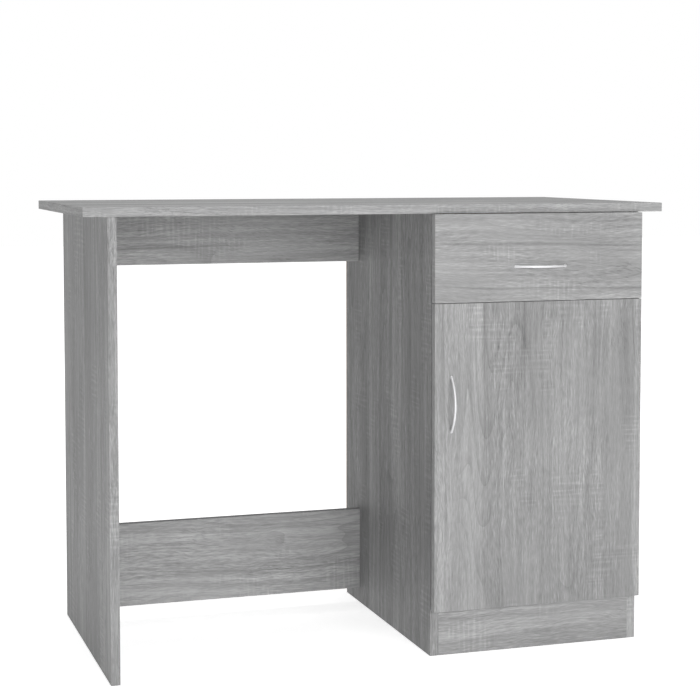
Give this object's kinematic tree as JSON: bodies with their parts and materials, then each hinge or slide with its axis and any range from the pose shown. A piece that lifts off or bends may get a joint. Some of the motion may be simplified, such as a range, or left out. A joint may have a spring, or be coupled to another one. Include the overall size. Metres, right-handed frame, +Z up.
{
  "type": "desk",
  "caption": "Writing desk: a flat top on a leg panel and a cabinet, with a sliding drawer above a hinged door, and rails across the open knee space.",
  "frame": {"origin": "on the floor, under the middle of the whole outline, from the handles' front to the desktop's rear edge", "axes": "+X to the right as seen from the front, +Y to the back, +Z up; the drawer and the door face -Y"},
  "size_m": [1, 0.5274, 0.76],
  "materials": {
    "grey_oak_board": "melamine board with a printed grey oak grain, satin",
    "hardboard": "raw brown hardboard, matt",
    "bright_chrome": "bright chrome plate",
    "zinc_steel": "zinc plated, satin",
    "coated_steel": "off-white powder coat, satin",
    "white_nylon": "moulded nylon, satin"
  },
  "bodies": {
    "root": {"desktop": "grey_oak_board", "leg_panel": "grey_oak_board", "cabinet_side_left": "grey_oak_board", "cabinet_side_right": "grey_oak_board", "cabinet_floor": "grey_oak_board", "drawer_divider": "grey_oak_board", "kick_board": "grey_oak_board", "shelf": "grey_oak_board", "upper_rail": "grey_oak_board", "lower_rail": "grey_oak_board", "cabinet_back": "hardboard", "runner_cabinet_left": "coated_steel", "runner_cabinet_right": "coated_steel", "hinge_plate_lower": "zinc_steel", "hinge_plate_upper": "zinc_steel", "hinge_arm_lower": "zinc_steel", "hinge_arm_upper": "zinc_steel", "shelf_pin_front_left": "zinc_steel", "shelf_pin_front_right": "zinc_steel", "shelf_pin_back_left": "zinc_steel", "shelf_pin_back_right": "zinc_steel", "cam_upper_rail_left_low": "zinc_steel", "cam_upper_rail_left_high": "zinc_steel", "cam_upper_rail_right_low": "zinc_steel", "cam_upper_rail_right_high": "zinc_steel", "cam_lower_rail_left_low": "zinc_steel", "cam_lower_rail_left_high": "zinc_steel", "cam_lower_rail_right_low": "zinc_steel", "cam_lower_rail_right_high": "zinc_steel", "cam_bolt_upper_rail_left_low": "zinc_steel", "cam_bolt_upper_rail_left_high": "zinc_steel", "cam_bolt_upper_rail_right_low": "zinc_steel", "cam_bolt_upper_rail_right_high": "zinc_steel", "cam_bolt_lower_rail_left_low": "zinc_steel", "cam_bolt_lower_rail_left_high": "zinc_steel", "cam_bolt_lower_rail_right_low": "zinc_steel", "cam_bolt_lower_rail_right_high": "zinc_steel"},
    "drawer": {"drawer_front": "grey_oak_board", "drawer_side_left": "grey_oak_board", "drawer_side_right": "grey_oak_board", "drawer_back": "grey_oak_board", "drawer_bottom": "hardboard", "drawer_handle": "bright_chrome", "drawer_handle_screw_left": "zinc_steel", "drawer_handle_screw_right": "zinc_steel", "runner_drawer_left": "coated_steel", "runner_drawer_right": "coated_steel"},
    "door": {"door": "grey_oak_board", "door_handle": "bright_chrome", "door_handle_screw_lower": "zinc_steel", "door_handle_screw_upper": "zinc_steel", "hinge_cup_lower": "zinc_steel", "hinge_cup_upper": "zinc_steel", "hinge_pin_lower": "zinc_steel", "hinge_pin_upper": "zinc_steel"},
    "roller_cabinet_left": {"roller_cabinet_left": "white_nylon"},
    "roller_cabinet_right": {"roller_cabinet_right": "white_nylon"},
    "roller_drawer_left": {"roller_drawer_left": "white_nylon"},
    "roller_drawer_right": {"roller_drawer_right": "white_nylon"}
  },
  "joints": [
    {"name": "drawer_slide", "type": "slide", "parent": "root", "child": "drawer", "axis": [0, -1, 0], "range_m": [0, 0.29]},
    {"name": "door_swing", "type": "hinge", "parent": "root", "child": "door", "pos_m": [0.4525, -0.23775, 0.33675], "axis": [0, 0, 1], "range_deg": [0, 95]},
    {"name": "roller_cabinet_left_spin", "type": "hinge", "parent": "root", "child": "roller_cabinet_left", "pos_m": [0.09975, -0.21175, 0.6177], "axis": [1, 0, 0], "continuous": true},
    {"name": "roller_cabinet_right_spin", "type": "hinge", "parent": "root", "child": "roller_cabinet_right", "pos_m": [0.43925, -0.21175, 0.6177], "axis": [1, 0, 0], "continuous": true},
    {"name": "roller_drawer_left_spin", "type": "hinge", "parent": "drawer", "child": "roller_drawer_left", "pos_m": [0.10025, 0.15975, 0.61655], "axis": [1, 0, 0], "continuous": true},
    {"name": "roller_drawer_right_spin", "type": "hinge", "parent": "drawer", "child": "roller_drawer_right", "pos_m": [0.43875, 0.15975, 0.61655], "axis": [1, 0, 0], "continuous": true}
  ],
  "couplings": [
    {"joint": "roller_cabinet_left_spin", "follows": "drawer_slide", "rad_per_m": 125},
    {"joint": "roller_cabinet_right_spin", "follows": "drawer_slide", "rad_per_m": 125},
    {"joint": "roller_drawer_left_spin", "follows": "drawer_slide", "rad_per_m": 111.11},
    {"joint": "roller_drawer_right_spin", "follows": "drawer_slide", "rad_per_m": 111.11}
  ]
}
